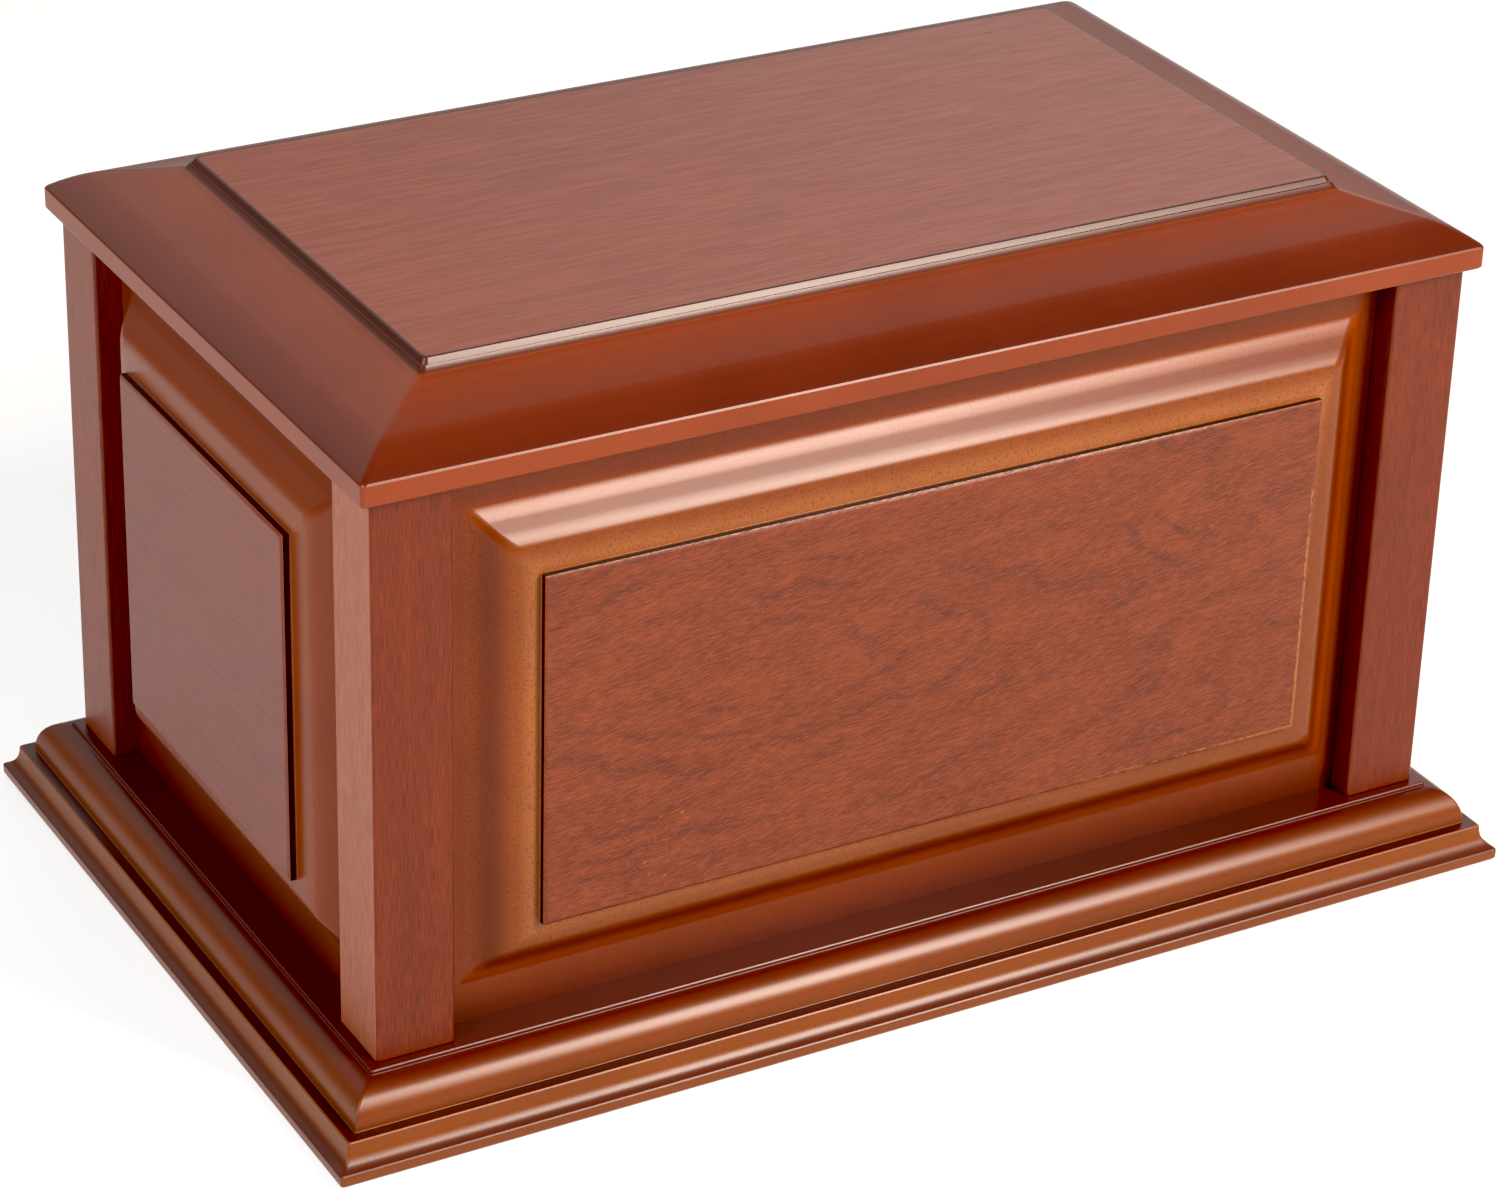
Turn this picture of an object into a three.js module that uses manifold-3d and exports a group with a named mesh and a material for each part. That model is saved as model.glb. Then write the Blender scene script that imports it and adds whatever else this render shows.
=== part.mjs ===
// A wooden cremation urn: a moulded base board, four square corner posts, four raised panels
// that stand between the posts, and a moulded lid that lifts off. The inside is empty.
// Millimetres, +Z up. The long side lies along X, the front faces -Y, and the origin is the
// middle of the underside.

import * as THREE from 'three';
import { mergeVertices } from 'three/addons/utils/BufferGeometryUtils.js';
import Module from 'manifold-3d';

const wasm = await Module();
wasm.setup();

// Base board, with the heights and insets of its moulded edge, from the foot up
const BASE_LENGTH = 280;
const BASE_DEPTH = 182;
const BASE_HEIGHT = 16.75;
const BAND_TOP = 2.875;
const COVE_INSET = 3;
const COVE_KNEE = 5;
const COVE_TOP = 8.125;
const LEDGE_INSET = 5.75;
const OVOLO_FOOT = 8.625;
const OVOLO_INSET = 12.25;
const OVOLO_TOP = 15.75;

// Corner posts
const POST_INSET = 14.5;
const POST_WIDTH = 17.25;
const POST_ARRIS = 0.75;
const WALL_TOP = 140.125;

// Raised panels: a board set back from the post faces, and a raised field proud of them
const PANEL_RECESS = 6;
const FIELD_PROUD = 2.5;
const JOINT_LINE = 0.3;
const FIELD_SIDE_MARGIN = 18.25;
const FIELD_TOP_MARGIN = 22.875;
const FIELD_LIFT = 0.25;
const MOULDING_WIDTH = 14.5;
const OGEE_WIDTH = 9.25;
const OGEE_RISE = 5.5;
const OGEE_FOOT_PULL = { across: 4, up: 0.25 };
const OGEE_SWELL = 3.75;
const SHOULDER_WIDTH = 4.75;
const SHOULDER_RISE = 1;
const MOULDING_ROOT = 4;

// Lid board, with the insets and heights of its moulded edge, from the rim in
const LID_OVERHANG = 2.75;
const RIM_HEIGHT = 5.125;
const CROWN_KNEE = { inset: 5.25, height: 3.75 };
const CROWN_SHOULDER = { inset: 9.5, height: 4.875 };
const CROWN_SLOPE = { inset: 16.5, height: 6.625 };
const STEP_FOOT = { inset: 22.25, height: 8.5 };
const LID_FIELD = { inset: 24.25, height: 11 };
const STEP_FACE_INSET = 23.25;

// Rounding of the boards' sharp edges
const EDGE_ARRIS = 0.5;
const FIELD_ARRIS = 0.5;

// Straight pieces for each rounded stretch of a moulding
const CURVE_STEPS = 6;
const POST_CORNER_STEPS = 3;

// Points closer than this are one corner
const MERGE_DISTANCE = 1e-4;

const WALL_HEIGHT = WALL_TOP - BASE_HEIGHT;
const POST_X = BASE_LENGTH / 2 - POST_INSET - POST_WIDTH / 2;
const POST_Y = BASE_DEPTH / 2 - POST_INSET - POST_WIDTH / 2;
const PANEL_THICKNESS = POST_WIDTH - PANEL_RECESS;
const FIELD_RISE = PANEL_RECESS + FIELD_PROUD;

const FINISH = {
  base: { color: 0x7d3d22, roughness: 0.38, metalness: 0 },
  post: { color: 0x8c472f, roughness: 0.42, metalness: 0 },
  panel: { color: 0x86442a, roughness: 0.38, metalness: 0 },
  lid: { color: 0x7f4230, roughness: 0.36, metalness: 0 },
};

// A board of the given plan whose edge follows the profile on all four sides, mitred at the
// corners. The profile runs from the underside's middle to the top's middle, as insets from
// the edge and heights. It is turned with four sides, and the square is then drawn out.
function mitredBoard(profile, length, depth) {
  const corner = profile.map((p) => new THREE.Vector2((depth / 2 - p.x) * Math.SQRT2, p.y));
  const board = new THREE.LatheGeometry(corner, 4, Math.PI / 4);
  board.rotateX(Math.PI / 2);
  const place = board.getAttribute('position');
  const stretch = (length - depth) / 2;
  for (let i = 0; i < place.count; i += 1) {
    const x = place.getX(i);
    const onAxis = Math.hypot(x, place.getY(i)) < EDGE_ARRIS;
    place.setX(i, onAxis ? 0 : x + Math.sign(x) * stretch);
  }
  return board;
}

// Closes an edge profile from the middle of the underside to the middle of the top.
function boardProfile(edge, depth) {
  const points = edge.getPoints(CURVE_STEPS);
  const underside = new THREE.Vector2(depth / 2, points[0].y);
  const top = new THREE.Vector2(depth / 2, points.at(-1).y);
  return [underside, ...points, top];
}

function toSolid(geometry) {
  const bare = geometry.clone();
  bare.deleteAttribute('normal');
  bare.deleteAttribute('uv');
  const merged = mergeVertices(bare, MERGE_DISTANCE);
  const corners = merged.index.array;
  const triangles = [];
  for (let i = 0; i < corners.length; i += 3) {
    const [a, b, c] = corners.slice(i, i + 3);
    if (a !== b && b !== c && c !== a) triangles.push(a, b, c);
  }
  return new wasm.Manifold(new wasm.Mesh({
    numProp: 3,
    vertProperties: new Float32Array(merged.getAttribute('position').array),
    triVerts: new Uint32Array(triangles),
  }));
}

function toGeometry(solid) {
  const mesh = solid.getMesh();
  const geometry = new THREE.BufferGeometry();
  geometry.setAttribute('position', new THREE.BufferAttribute(mesh.vertProperties, 3));
  geometry.setIndex(new THREE.BufferAttribute(mesh.triVerts, 1));
  geometry.computeVertexNormals();
  return geometry;
}

// Base edge: a plain band, a cove, a narrow ledge, an ovolo and a small fillet.
function baseGeometry() {
  const edge = new THREE.Path();
  edge.moveTo(EDGE_ARRIS, 0);
  edge.lineTo(0, EDGE_ARRIS);
  edge.lineTo(0, BAND_TOP);
  edge.quadraticCurveTo(COVE_INSET, COVE_KNEE, COVE_INSET, COVE_TOP);
  edge.lineTo(LEDGE_INSET, COVE_TOP);
  edge.lineTo(LEDGE_INSET, OVOLO_FOOT);
  edge.absellipse(
    OVOLO_INSET, OVOLO_FOOT, OVOLO_INSET - LEDGE_INSET, OVOLO_TOP - OVOLO_FOOT, Math.PI, Math.PI / 2, true,
  );
  edge.lineTo(OVOLO_INSET, BASE_HEIGHT);
  return mitredBoard(boardProfile(edge, BASE_DEPTH), BASE_LENGTH, BASE_DEPTH);
}

// Square post with eased arrises, standing on its foot.
function postGeometry() {
  const half = POST_WIDTH / 2;
  const flat = half - POST_ARRIS;
  const section = new THREE.Shape();
  section.absarc(flat, flat, POST_ARRIS, 0, Math.PI / 2);
  section.absarc(-flat, flat, POST_ARRIS, Math.PI / 2, Math.PI);
  section.absarc(-flat, -flat, POST_ARRIS, Math.PI, 1.5 * Math.PI);
  section.absarc(flat, -flat, POST_ARRIS, 1.5 * Math.PI, 2 * Math.PI);
  return new THREE.ExtrudeGeometry(section, {
    depth: WALL_HEIGHT, curveSegments: POST_CORNER_STEPS, bevelEnabled: false,
  });
}

// Raised panel, standing on its lower edge with its field towards -Y. The board's face is at
// y = 0, and the moulding rises from it: an ogee, a sloping shoulder and a step to the field.
function panelGeometry(length) {
  const back = new THREE.BoxGeometry(length - 2 * JOINT_LINE, WALL_HEIGHT, PANEL_THICKNESS);
  back.translate(0, 0, -PANEL_THICKNESS / 2);

  const shoulder = { inset: OGEE_WIDTH + SHOULDER_WIDTH, height: OGEE_RISE + SHOULDER_RISE };
  const slope = SHOULDER_RISE / SHOULDER_WIDTH;
  const edge = new THREE.Path();
  edge.moveTo(0, -MOULDING_ROOT);
  edge.lineTo(0, 0);
  edge.bezierCurveTo(
    OGEE_FOOT_PULL.across, OGEE_FOOT_PULL.up,
    OGEE_WIDTH - OGEE_SWELL, OGEE_RISE - OGEE_SWELL * slope,
    OGEE_WIDTH, OGEE_RISE,
  );
  edge.lineTo(shoulder.inset, shoulder.height);
  edge.lineTo(MOULDING_WIDTH, shoulder.height);
  edge.lineTo(MOULDING_WIDTH, FIELD_RISE - FIELD_ARRIS);
  edge.lineTo(MOULDING_WIDTH + FIELD_ARRIS, FIELD_RISE);
  const width = length - 2 * (FIELD_SIDE_MARGIN - MOULDING_WIDTH);
  const height = WALL_HEIGHT - 2 * (FIELD_TOP_MARGIN - MOULDING_WIDTH);
  const raised = mitredBoard(boardProfile(edge, height), width, height);
  raised.translate(0, FIELD_LIFT, 0);

  const panel = toGeometry(toSolid(back).add(toSolid(raised)));
  panel.rotateX(Math.PI / 2);
  panel.translate(0, 0, WALL_HEIGHT / 2);
  return panel;
}

// Lid edge: a plain rim, a crown that flattens inwards and a small ogee step to the field.
function lidGeometry() {
  const depth = BASE_DEPTH - 2 * (POST_INSET - LID_OVERHANG);
  const length = BASE_LENGTH - 2 * (POST_INSET - LID_OVERHANG);
  const fieldHeight = RIM_HEIGHT + LID_FIELD.height;
  const footHeight = RIM_HEIGHT + STEP_FOOT.height;
  const stepMiddle = (fieldHeight + footHeight) / 2;
  const edge = new THREE.Path();
  edge.moveTo(EDGE_ARRIS, 0);
  edge.lineTo(0, EDGE_ARRIS);
  edge.lineTo(0, RIM_HEIGHT - EDGE_ARRIS);
  edge.lineTo(EDGE_ARRIS, RIM_HEIGHT);
  edge.quadraticCurveTo(
    CROWN_KNEE.inset, RIM_HEIGHT + CROWN_KNEE.height, CROWN_SHOULDER.inset, RIM_HEIGHT + CROWN_SHOULDER.height,
  );
  edge.quadraticCurveTo(CROWN_SLOPE.inset, RIM_HEIGHT + CROWN_SLOPE.height, STEP_FOOT.inset, footHeight);
  edge.quadraticCurveTo(STEP_FACE_INSET, footHeight, STEP_FACE_INSET, stepMiddle);
  edge.quadraticCurveTo(STEP_FACE_INSET, fieldHeight, LID_FIELD.inset, fieldHeight);
  return mitredBoard(boardProfile(edge, depth), length, depth);
}

function addPiece(group, name, geometry, finish, place, turn = 0) {
  const mesh = new THREE.Mesh(geometry, new THREE.MeshStandardMaterial(finish));
  mesh.name = name;
  mesh.position.set(...place);
  mesh.rotation.z = turn;
  group.add(mesh);
}

const urn = new THREE.Group();
urn.name = 'cremation_urn';

addPiece(urn, 'base', baseGeometry(), FINISH.base, [0, 0, 0]);

for (const [side, x] of [['left', -POST_X], ['right', POST_X]]) {
  addPiece(urn, `post_front_${side}`, postGeometry(), FINISH.post, [x, -POST_Y, BASE_HEIGHT]);
  addPiece(urn, `post_back_${side}`, postGeometry(), FINISH.post, [x, POST_Y, BASE_HEIGHT]);
}

const longPanel = 2 * POST_X - POST_WIDTH;
const shortPanel = 2 * POST_Y - POST_WIDTH;
const faceX = POST_X + POST_WIDTH / 2 - PANEL_RECESS;
const faceY = POST_Y + POST_WIDTH / 2 - PANEL_RECESS;
addPiece(urn, 'panel_front', panelGeometry(longPanel), FINISH.panel, [0, -faceY, BASE_HEIGHT]);
addPiece(urn, 'panel_right', panelGeometry(shortPanel), FINISH.panel, [faceX, 0, BASE_HEIGHT], Math.PI / 2);
addPiece(urn, 'panel_back', panelGeometry(longPanel), FINISH.panel, [0, faceY, BASE_HEIGHT], Math.PI);
addPiece(urn, 'panel_left', panelGeometry(shortPanel), FINISH.panel, [-faceX, 0, BASE_HEIGHT], -Math.PI / 2);

addPiece(urn, 'lid', lidGeometry(), FINISH.lid, [0, 0, WALL_TOP]);

export default urn;
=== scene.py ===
"""A wooden cremation urn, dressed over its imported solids.

The urn is a moulded base board, four square corner posts, four raised panels and a moulded lid that lifts
off. The boards are sprayed with cherry stain under satin lacquer, and the posts and the flat fields of the
panels and of the lid are veneered. Metres, +Z up, the long side along X, the front towards -Y.
"""

from __future__ import annotations

import logging
import math
from dataclasses import dataclass, field, replace
from enum import Enum
from typing import Any, Mapping, NamedTuple, Sequence, Union

import bmesh
import bpy
from mathutils import Matrix, Vector

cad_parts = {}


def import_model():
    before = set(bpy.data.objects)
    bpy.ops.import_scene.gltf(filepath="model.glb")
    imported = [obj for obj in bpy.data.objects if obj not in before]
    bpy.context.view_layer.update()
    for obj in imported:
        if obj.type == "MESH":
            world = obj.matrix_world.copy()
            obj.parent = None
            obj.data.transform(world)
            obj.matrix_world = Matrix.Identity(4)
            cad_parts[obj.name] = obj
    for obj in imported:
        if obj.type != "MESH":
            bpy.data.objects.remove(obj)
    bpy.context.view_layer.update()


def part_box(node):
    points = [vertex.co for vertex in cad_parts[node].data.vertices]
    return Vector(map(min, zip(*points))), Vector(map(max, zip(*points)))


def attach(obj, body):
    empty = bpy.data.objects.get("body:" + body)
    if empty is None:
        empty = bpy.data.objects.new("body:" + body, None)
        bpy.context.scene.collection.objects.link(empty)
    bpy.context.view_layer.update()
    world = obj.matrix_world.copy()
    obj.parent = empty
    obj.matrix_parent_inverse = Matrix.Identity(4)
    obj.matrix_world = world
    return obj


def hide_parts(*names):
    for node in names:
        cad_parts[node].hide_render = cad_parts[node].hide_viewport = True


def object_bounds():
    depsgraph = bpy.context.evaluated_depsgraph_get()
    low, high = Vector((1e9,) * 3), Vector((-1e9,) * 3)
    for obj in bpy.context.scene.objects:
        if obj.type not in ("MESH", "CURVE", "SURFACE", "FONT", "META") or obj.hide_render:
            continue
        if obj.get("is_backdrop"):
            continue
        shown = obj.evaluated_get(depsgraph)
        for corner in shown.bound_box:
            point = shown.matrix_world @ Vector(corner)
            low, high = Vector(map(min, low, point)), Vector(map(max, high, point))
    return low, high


LOG = logging.getLogger("urn")

MM = 0.001
BODY = "root"

TONE = "tone"
WORN = "worn"

CREASE_ANGLE = math.radians(38)
CURVE_STEPS = 8
EASE_STEPS = 3
FLAT_EASE = 0.2
HAIRLINE = 0.001 * MM
CLEARANCE = 0.01 * MM


# Shader sheets


@dataclass(frozen=True)
class Tint:
    """A colour by its screen values, from 0 to 255."""

    red: float
    green: float
    blue: float

    def linear(self) -> tuple[float, float, float, float]:
        """Return the colour in linear light, opaque."""
        return (*(self._to_light(value / 255) for value in (self.red, self.green, self.blue)), 1.0)

    @staticmethod
    def _to_light(value: float) -> float:
        """Undo the screen's curve on one value."""
        return value / 12.92 if value <= 0.04045 else ((value + 0.055) / 1.055) ** 2.4


class Signal:
    """A number on a shader socket, with Python's arithmetic."""

    def __init__(self, sheet: ShaderSheet, socket: bpy.types.NodeSocket) -> None:
        """Keep the socket and the sheet that its Math nodes go on."""
        self.sheet = sheet
        self.socket = socket

    def _math(self, operation: str, first: Number, second: Number) -> Signal:
        """Add one Math node.

        Args:
            operation: The Math node's operation.
            first: Its first value.
            second: Its second value.

        Returns:
            The node's result.
        """
        return self.sheet.number("ShaderNodeMath", {"operation": operation}, {0: first, 1: second})

    def __add__(self, other: Number) -> Signal:
        """Add a number."""
        return self._math("ADD", self, other)

    def __radd__(self, other: Number) -> Signal:
        """Add to a number."""
        return self._math("ADD", other, self)

    def __sub__(self, other: Number) -> Signal:
        """Take a number away."""
        return self._math("SUBTRACT", self, other)

    def __rsub__(self, other: Number) -> Signal:
        """Take away from a number."""
        return self._math("SUBTRACT", other, self)

    def __mul__(self, other: Number) -> Signal:
        """Multiply by a number."""
        return self._math("MULTIPLY", self, other)

    def __rmul__(self, other: Number) -> Signal:
        """Multiply a number."""
        return self._math("MULTIPLY", other, self)

    def folded(self) -> Signal:
        """Return 0 at whole numbers, rising to 1 halfway between them."""
        return self._math("PINGPONG", self, 0.5) * 2.0

    def step(self, low: float, high: float) -> Signal:
        """Rise smoothly from 0 to 1.

        Args:
            low: Where the rise starts.
            high: Where it ends.

        Returns:
            The smooth step.
        """
        return self.sheet.number(
            "ShaderNodeMapRange",
            {"interpolation_type": "SMOOTHSTEP"},
            {"Value": self, "From Min": low, "From Max": high, "To Min": 0.0, "To Max": 1.0},
        )


# The colour sockets of a Mix node, which has others of the same names
MIX_UNDER = 6
MIX_OVER = 7
MIX_RESULT = 2

Number = Union[Signal, float]
Feed = Union[Signal, bpy.types.NodeSocket, float, Sequence[float]]


class ShaderSheet:
    """The node sheet of one material, or of the world."""

    def __init__(self, tree: bpy.types.NodeTree) -> None:
        """Start with a bare sheet."""
        self.tree = tree
        tree.nodes.clear()

    def node(
        self, kind: str, settings: Mapping[str, Any], sockets: Mapping[Union[int, str], Feed]
    ) -> bpy.types.Node:
        """Add one node.

        Args:
            kind: Blender's name for the node's type.
            settings: Properties that are set first; stops fills a colour ramp.
            sockets: Values or links of the inputs, by name or number.

        Returns:
            The new node.
        """
        node = self.tree.nodes.new(kind)
        for name, value in settings.items():
            if name == "stops":
                self._fill_ramp(node.color_ramp, value)
            else:
                setattr(node, name, value)
        for key, feed in sockets.items():
            source = feed.socket if isinstance(feed, Signal) else feed
            if isinstance(source, bpy.types.NodeSocket):
                self.tree.links.new(source, node.inputs[key])
            else:
                node.inputs[key].default_value = source
        return node

    @staticmethod
    def _fill_ramp(ramp: bpy.types.ColorRamp, stops: Sequence[tuple[float, Tint]]) -> None:
        """Give a colour ramp its stops.

        Args:
            ramp: A new ramp, which has two stops.
            stops: Places from 0 to 1 with their tints, in order.
        """
        ramp.interpolation = "EASE"
        for _ in stops[2:]:
            ramp.elements.new(1.0)
        for element, (place, tint) in zip(ramp.elements, stops):
            element.position = place
            element.color = tint.linear()

    def number(
        self,
        kind: str,
        settings: Mapping[str, Any],
        sockets: Mapping[Union[int, str], Feed],
        output: Union[int, str] = 0,
    ) -> Signal:
        """Add a node and take one of its outputs as a number.

        Args:
            kind: Blender's name for the node's type.
            settings: Properties that are set first.
            sockets: Values or links of the inputs.
            output: Which output to take, by name or number.

        Returns:
            The output.
        """
        return Signal(self, self.node(kind, settings, sockets).outputs[output])

    def place(
        self, size: Sequence[float], turn: Sequence[float] = (0, 0, 0), centre: Sequence[float] = (0, 0, 0)
    ) -> bpy.types.NodeSocket:
        """Lay a pattern on the piece's own coordinates.

        Args:
            size: The size of one cell of the pattern along each axis, in metres.
            turn: How the pattern is turned, in radians.
            centre: Where the pattern's origin is.

        Returns:
            The coordinates, in cells.
        """
        own = self.node("ShaderNodeTexCoord", {}, {}).outputs["Object"]
        laid = self.node(
            "ShaderNodeMapping",
            {"vector_type": "TEXTURE"},
            {"Vector": own, "Location": centre, "Rotation": turn, "Scale": size},
        )
        return laid.outputs[0]

    def noise(self, place: Feed, detail: float = 2.0, distortion: float = 0.0) -> Signal:
        """Add soft noise.

        Args:
            place: Coordinates, in cells.
            detail: How many finer layers it has.
            distortion: How far it is warped.

        Returns:
            The noise, about 0.5.
        """
        return self.number(
            "ShaderNodeTexNoise",
            {},
            {"Vector": place, "Scale": 1.0, "Detail": detail, "Distortion": distortion},
        )

    def attribute(self, name: str) -> Signal:
        """Read a number that the mesh holds at its points."""
        return self.number("ShaderNodeAttribute", {"attribute_name": name}, {}, "Fac")

    def blend(self, share: Feed, under: Feed, over: Feed, way: str = "MIX") -> bpy.types.NodeSocket:
        """Lay one colour over another.

        Args:
            share: How much of the upper colour shows.
            under: The lower colour.
            over: The upper colour.
            way: The Mix node's way of blending.

        Returns:
            The blended colour.
        """
        settings = {"data_type": "RGBA", "blend_type": way}
        mix = self.node("ShaderNodeMix", settings, {0: share, MIX_UNDER: under, MIX_OVER: over})
        return mix.outputs[MIX_RESULT]


# Finishes

RELIEF_STRENGTH = 0.6

# Between which values each pattern of the veneer fades in or out
MOTTLE_RANGE = (0.4, 0.68)
BAND_RANGE = (0.47, 0.72)
PORE_RANGE = (0.52, 0.63)
GLEAM_RANGE = (0.37, 0.48)
LINE_RANGE = (0.55, 1.0)
FADE_RANGE = (0.36, 0.6)
SANDED_RANGE = (0.55, 0.95)

# The growth lines' wavering and fading, and the sanded line's raggedness and gaps
WARP_CELL = (34 * MM, 18 * MM, 18 * MM)
FADE_CELL = (32 * MM, 18 * MM, 18 * MM)
RAGGED_CELL = (1.2 * MM, 1.2 * MM, 1.2 * MM)
RAGGED_REACH = 1.6
GAP_CELL = (45 * MM, 45 * MM, 45 * MM)
GAP_REACH = 1.4
SANDED_SHARE = 0.7

# The sprayed stain's clouds and specks
CLOUD_CELL = (34 * MM, 34 * MM, 34 * MM)
CLOUD_RANGE = (0.35, 0.7)
GRIT_CELL = (0.45 * MM, 0.45 * MM, 0.45 * MM)
FLECK_RANGE = (0.3, 0.48)
SPECK_RANGE = (0.52, 0.7)
CLOUD_SHADE = Tint(205, 190, 185)


class Grain(Enum):
    """Which way a veneer's grain runs, by its axis."""

    LENGTH = 0
    DEPTH = 1
    UPRIGHT = 2

    def cell(self, along: float, across: float) -> tuple[float, float, float]:
        """Return the size of a pattern's cell, drawn out along the grain.

        Args:
            along: The cell's length.
            across: Its width.

        Returns:
            Its size on each axis.
        """
        return tuple(along if axis == self.value else across for axis in range(3))


@dataclass(frozen=True)
class Lacquer:
    """Satin lacquer: how rough it is, how much that wavers, and how deep the surface shows through."""

    roughness: float
    waver: float
    depth: float
    index: float = 1.36


@dataclass(frozen=True)
class Coat:
    """What a finish puts on each point; the lacquer's waver and the height are about 0.5."""

    colour: bpy.types.NodeSocket
    waver: Signal
    height: Signal


@dataclass(frozen=True)
class Flame:
    """The figure of a veneer: nested growth lines round a heart."""

    heart: tuple[float, float, float]
    stretch: float
    pitch: float
    warp: float
    share: float


class Finish:
    """A finish that makes one material, shared by every piece that names it."""

    name: str
    lacquer: Lacquer

    def coat(self, sheet: ShaderSheet) -> Coat:
        """Draw the finish on a sheet; each kind of finish has its own way."""
        raise NotImplementedError

    def material(self) -> bpy.types.Material:
        """Return the finish's material, made when it is first asked for."""
        made = bpy.data.materials.get(self.name)
        if made is not None:
            return made
        made = bpy.data.materials.new(self.name)
        made.use_nodes = True
        sheet = ShaderSheet(made.node_tree)
        coat = self.coat(sheet)
        relief = sheet.node(
            "ShaderNodeBump",
            {},
            {"Strength": RELIEF_STRENGTH, "Distance": self.lacquer.depth, "Height": coat.height},
        )
        shader = sheet.node(
            "ShaderNodeBsdfPrincipled",
            {},
            {
                "Base Color": coat.colour,
                "Roughness": self.lacquer.roughness + (coat.waver - 0.5) * self.lacquer.waver,
                "IOR": self.lacquer.index,
                "Normal": relief.outputs[0],
            },
        )
        sheet.node("ShaderNodeOutputMaterial", {}, {"Surface": shader.outputs[0]})
        return made


@dataclass(frozen=True)
class CherryVeneer(Finish):
    """Stained cherry veneer: mottled ground, darker growth lines, and short pores along the grain."""

    name: str
    lacquer: Lacquer
    grain: Grain
    ground: Tint
    glow: Tint
    shade: Tint
    pore: Tint
    turn: tuple[float, float, float] = (0, 0, 0)
    pore_cell: tuple[float, float] = (3.2 * MM, 0.5 * MM)
    pore_share: float = 0.4
    gleam_share: float = 0.45
    mottle_cell: tuple[float, float] = (20 * MM, 5 * MM)
    mottle_share: float = 0.25
    band_cell: tuple[float, float] = (70 * MM, 9 * MM)
    band_share: float = 0.32
    flame: Union[Flame, None] = None
    sanded: Union[Tint, None] = None

    def coat(self, sheet: ShaderSheet) -> Coat:
        """Draw the veneer.

        Args:
            sheet: The sheet to draw on.

        Returns:
            What it puts on each point.
        """
        mottle = sheet.noise(sheet.place(self.grain.cell(*self.mottle_cell), self.turn), 3.0, 0.4)
        colour = sheet.blend(
            mottle.step(*MOTTLE_RANGE) * self.mottle_share, self.ground.linear(), self.glow.linear()
        )
        bands = sheet.noise(sheet.place(self.grain.cell(*self.band_cell), self.turn), 2.0, 0.6)
        colour = sheet.blend(bands.step(*BAND_RANGE) * self.band_share, colour, self.shade.linear())
        if self.flame is not None:
            colour = sheet.blend(self._growth_lines(sheet, self.flame), colour, self.shade.linear())

        pores = sheet.noise(sheet.place(self.grain.cell(*self.pore_cell), self.turn), 1.0)
        dark = pores.step(*PORE_RANGE)
        bright = 1.0 - pores.step(*GLEAM_RANGE)
        colour = sheet.blend(bright * self.gleam_share, colour, self.glow.linear())
        colour = sheet.blend(dark * self.pore_share, colour, self.pore.linear())
        if self.sanded is not None:
            colour = sheet.blend(self._sanding(sheet), colour, self.sanded.linear())
        return Coat(colour, mottle, 1.0 - dark)

    @staticmethod
    def _growth_lines(sheet: ShaderSheet, flame: Flame) -> Signal:
        """Draw nested, wavering growth lines round the figure's heart.

        Args:
            sheet: The sheet to draw on.
            flame: Where the heart is and how the lines run.

        Returns:
            How dark the lines are at each point.
        """
        cell = (flame.pitch * flame.stretch, flame.pitch, flame.pitch)
        from_heart = sheet.place(cell, centre=flame.heart)
        reach = sheet.number("ShaderNodeVectorMath", {"operation": "LENGTH"}, {0: from_heart}, "Value")
        warp = sheet.noise(sheet.place(WARP_CELL), 2.0)
        fade = sheet.noise(sheet.place(FADE_CELL, centre=flame.heart), 1.0)
        line = (reach + (warp - 0.5) * flame.warp).folded().step(*LINE_RANGE)
        return line * fade.step(*FADE_RANGE) * flame.share

    @staticmethod
    def _sanding(sheet: ShaderSheet) -> Signal:
        """Draw the ragged line where the stain is sanded through along a worn arris."""
        ragged = sheet.noise(sheet.place(RAGGED_CELL), 2.0)
        gaps = sheet.noise(sheet.place(GAP_CELL), 1.0)
        worn = sheet.attribute(WORN) + (ragged - 0.5) * RAGGED_REACH + (gaps - 0.5) * GAP_REACH
        return worn.step(*SANDED_RANGE) * SANDED_SHARE


@dataclass(frozen=True)
class SprayedStain(Finish):
    """Sprayed stain on a moulding: tones that follow the profile, spray clouds and fine specks."""

    name: str
    lacquer: Lacquer
    tones: tuple[tuple[float, Tint], ...]
    speck: Tint
    fleck: Tint
    speck_share: float
    cloud_share: float = 0.3

    def coat(self, sheet: ShaderSheet) -> Coat:
        """Draw the stain.

        Args:
            sheet: The sheet to draw on.

        Returns:
            What it puts on each point.
        """
        cloud = sheet.noise(sheet.place(CLOUD_CELL), 3.0)
        grit = sheet.noise(sheet.place(GRIT_CELL), 2.0)
        tone = sheet.attribute(TONE)
        stain = sheet.node("ShaderNodeValToRGB", {"stops": self.tones}, {0: tone}).outputs[0]
        deep = sheet.blend(1.0, stain, CLOUD_SHADE.linear(), "MULTIPLY")
        colour = sheet.blend(cloud.step(*CLOUD_RANGE) * self.cloud_share, stain, deep)
        pale = sheet.blend(1.0, colour, self.fleck.linear(), "ADD")
        colour = sheet.blend((1.0 - grit.step(*FLECK_RANGE)) * self.speck_share, colour, pale)
        colour = sheet.blend(grit.step(*SPECK_RANGE) * self.speck_share, colour, self.speck.linear())
        return Coat(colour, cloud, grit)


SATIN = Lacquer(roughness=0.34, waver=0.06, depth=0.03 * MM)
SPRAYED = Lacquer(roughness=0.3, waver=0.03, depth=0.01 * MM)

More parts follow.
